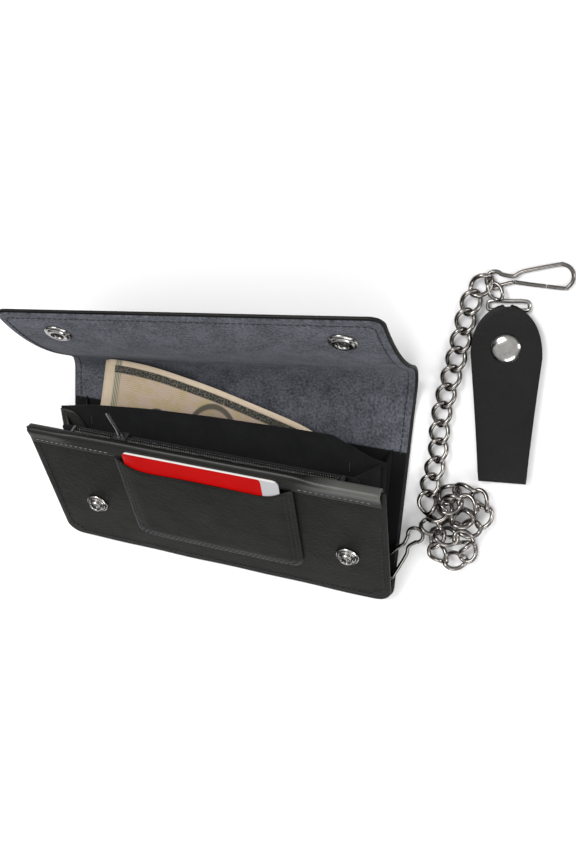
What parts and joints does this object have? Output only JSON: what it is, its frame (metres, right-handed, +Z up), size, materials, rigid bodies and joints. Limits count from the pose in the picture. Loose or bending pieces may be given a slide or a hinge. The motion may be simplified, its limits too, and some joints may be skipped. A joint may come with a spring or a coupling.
{
  "type": "chain wallet",
  "caption": "Long black leather wallet lying open, with snap flap, zipped coin pocket, card pocket, bill compartment, and a chain with wire hooks and a leather belt fob.",
  "frame": {"origin": "under the middle of the wallet's bottom seam, on the surface that the back lies on", "axes": "+X along the wallet's width towards the chain, +Y from the bottom seam towards the flap, +Z up from the table"},
  "size_m": [0.2636, 0.1865, 0.0777],
  "materials": {
    "leather": "semi-matt, fine grain",
    "suede_lining": "suede nap",
    "dark_lining": "matt",
    "nickel": "polished nickel plate",
    "card_plastic": "gloss",
    "note_paper": "matt printed paper"
  },
  "bodies": {
    "back": {"back_leather": "leather", "fold_leather": "leather", "coin_gusset_left": "leather", "coin_gusset_right": "leather", "bill_gusset_left": "leather", "bill_gusset_right": "leather", "chain_tab": "leather", "fob_rear_leaf": "leather", "fob_fold": "leather", "upper_back_lining": "suede_lining", "fold_lining": "suede_lining", "back_lining": "dark_lining", "hook_a_wire": "nickel", "hook_b_wire": "nickel", "chain_run": "nickel", "chain_heap": "nickel", "fob_ring": "nickel", "fob_snap_stud": "nickel"},
    "flap": {"flap_leather": "leather", "flap_lining": "suede_lining", "snap_socket_left": "nickel", "snap_socket_right": "nickel", "snap_cap_left": "nickel", "snap_cap_right": "nickel"},
    "front": {"front_leather": "leather", "front_lining": "dark_lining", "top_facing": "leather", "card_pocket": "leather", "coin_pocket_wall": "dark_lining", "snap_stud_left": "nickel", "snap_stud_right": "nickel", "snap_stud_base_left": "nickel", "snap_stud_base_right": "nickel", "zip_tape_front": "dark_lining", "zip_tape_rear": "dark_lining", "zip_teeth_front": "nickel", "zip_teeth_rear": "nickel", "zip_stop_left": "nickel", "zip_stop_right": "nickel"},
    "divider": {"partition": "dark_lining"},
    "card": {"bank_card": "card_plastic"},
    "slider": {"zip_slider": "nickel", "zip_bridge": "nickel"},
    "pull": {"zip_pull": "nickel"},
    "note": {"banknote": "note_paper"},
    "fob_cover": {"fob_front_leaf": "leather", "fob_snap_cap": "nickel"},
    "gate_a": {"hook_a_arm": "nickel"},
    "gate_b": {"hook_b_arm": "nickel"}
  },
  "joints": [
    {"name": "flap_fold", "type": "hinge", "parent": "back", "child": "flap", "pos_m": [0, 0.09333, 0.01694], "axis": [0.9981, 0.0592, -0.0147], "range_deg": [-40, 118], "deforming": ["fold_leather", "fold_lining"]},
    {"name": "front_close", "type": "hinge", "parent": "back", "child": "front", "pos_m": [0, -0.0035, 0.0049], "axis": [1, 0, 0], "range_deg": [-14.8, 5.1], "deforming": ["coin_gusset_left", "coin_gusset_right", "coin_pocket_wall"]},
    {"name": "divider_close", "type": "hinge", "parent": "back", "child": "divider", "pos_m": [0, -0.0015, 0.0032], "axis": [1, 0, 0], "range_deg": [-5.6, 2], "deforming": ["bill_gusset_left", "bill_gusset_right"]},
    {"name": "card_slide", "type": "slide", "parent": "front", "child": "card", "axis": [0, 0.8643, 0.503], "range_m": [0, 0.03]},
    {"name": "zip_slide", "type": "slide", "parent": "front", "child": "slider", "axis": [1, 0, 0], "range_m": [-0.022, 0.11]},
    {"name": "pull_swing", "type": "hinge", "parent": "slider", "child": "pull", "pos_m": [-0.044, 0.0778, 0.0454], "axis": [0, -0.503, 0.8643], "range_deg": [-60, 60]},
    {"name": "note_slide", "type": "slide", "parent": "back", "child": "note", "axis": [0, 1, 0], "range_m": [-0.008, 0]},
    {"name": "fob_open", "type": "hinge", "parent": "back", "child": "fob_cover", "pos_m": [0.1453, 0.0764, 0.0028], "axis": [0.9944, 0.1054, 0], "range_deg": [0, 125], "deforming": ["fob_fold"]},
    {"name": "gate_a_open", "type": "hinge", "parent": "back", "child": "gate_a", "pos_m": [0.1006, 0.0313, 0.005], "axis": [-0.0408, -0.067, 0.9969], "range_deg": [0, 12], "stiffness_Nm_per_rad": 0.02},
    {"name": "gate_b_open", "type": "hinge", "parent": "back", "child": "gate_b", "pos_m": [0.1383, 0.1717, 0.0012], "axis": [0, 0, 1], "range_deg": [0, 12], "stiffness_Nm_per_rad": 0.02}
  ],
  "couplings": [
    {"joint": "front_close", "follows": "flap_fold", "ratio": -0.1246},
    {"joint": "divider_close", "follows": "flap_fold", "ratio": -0.0466}
  ]
}
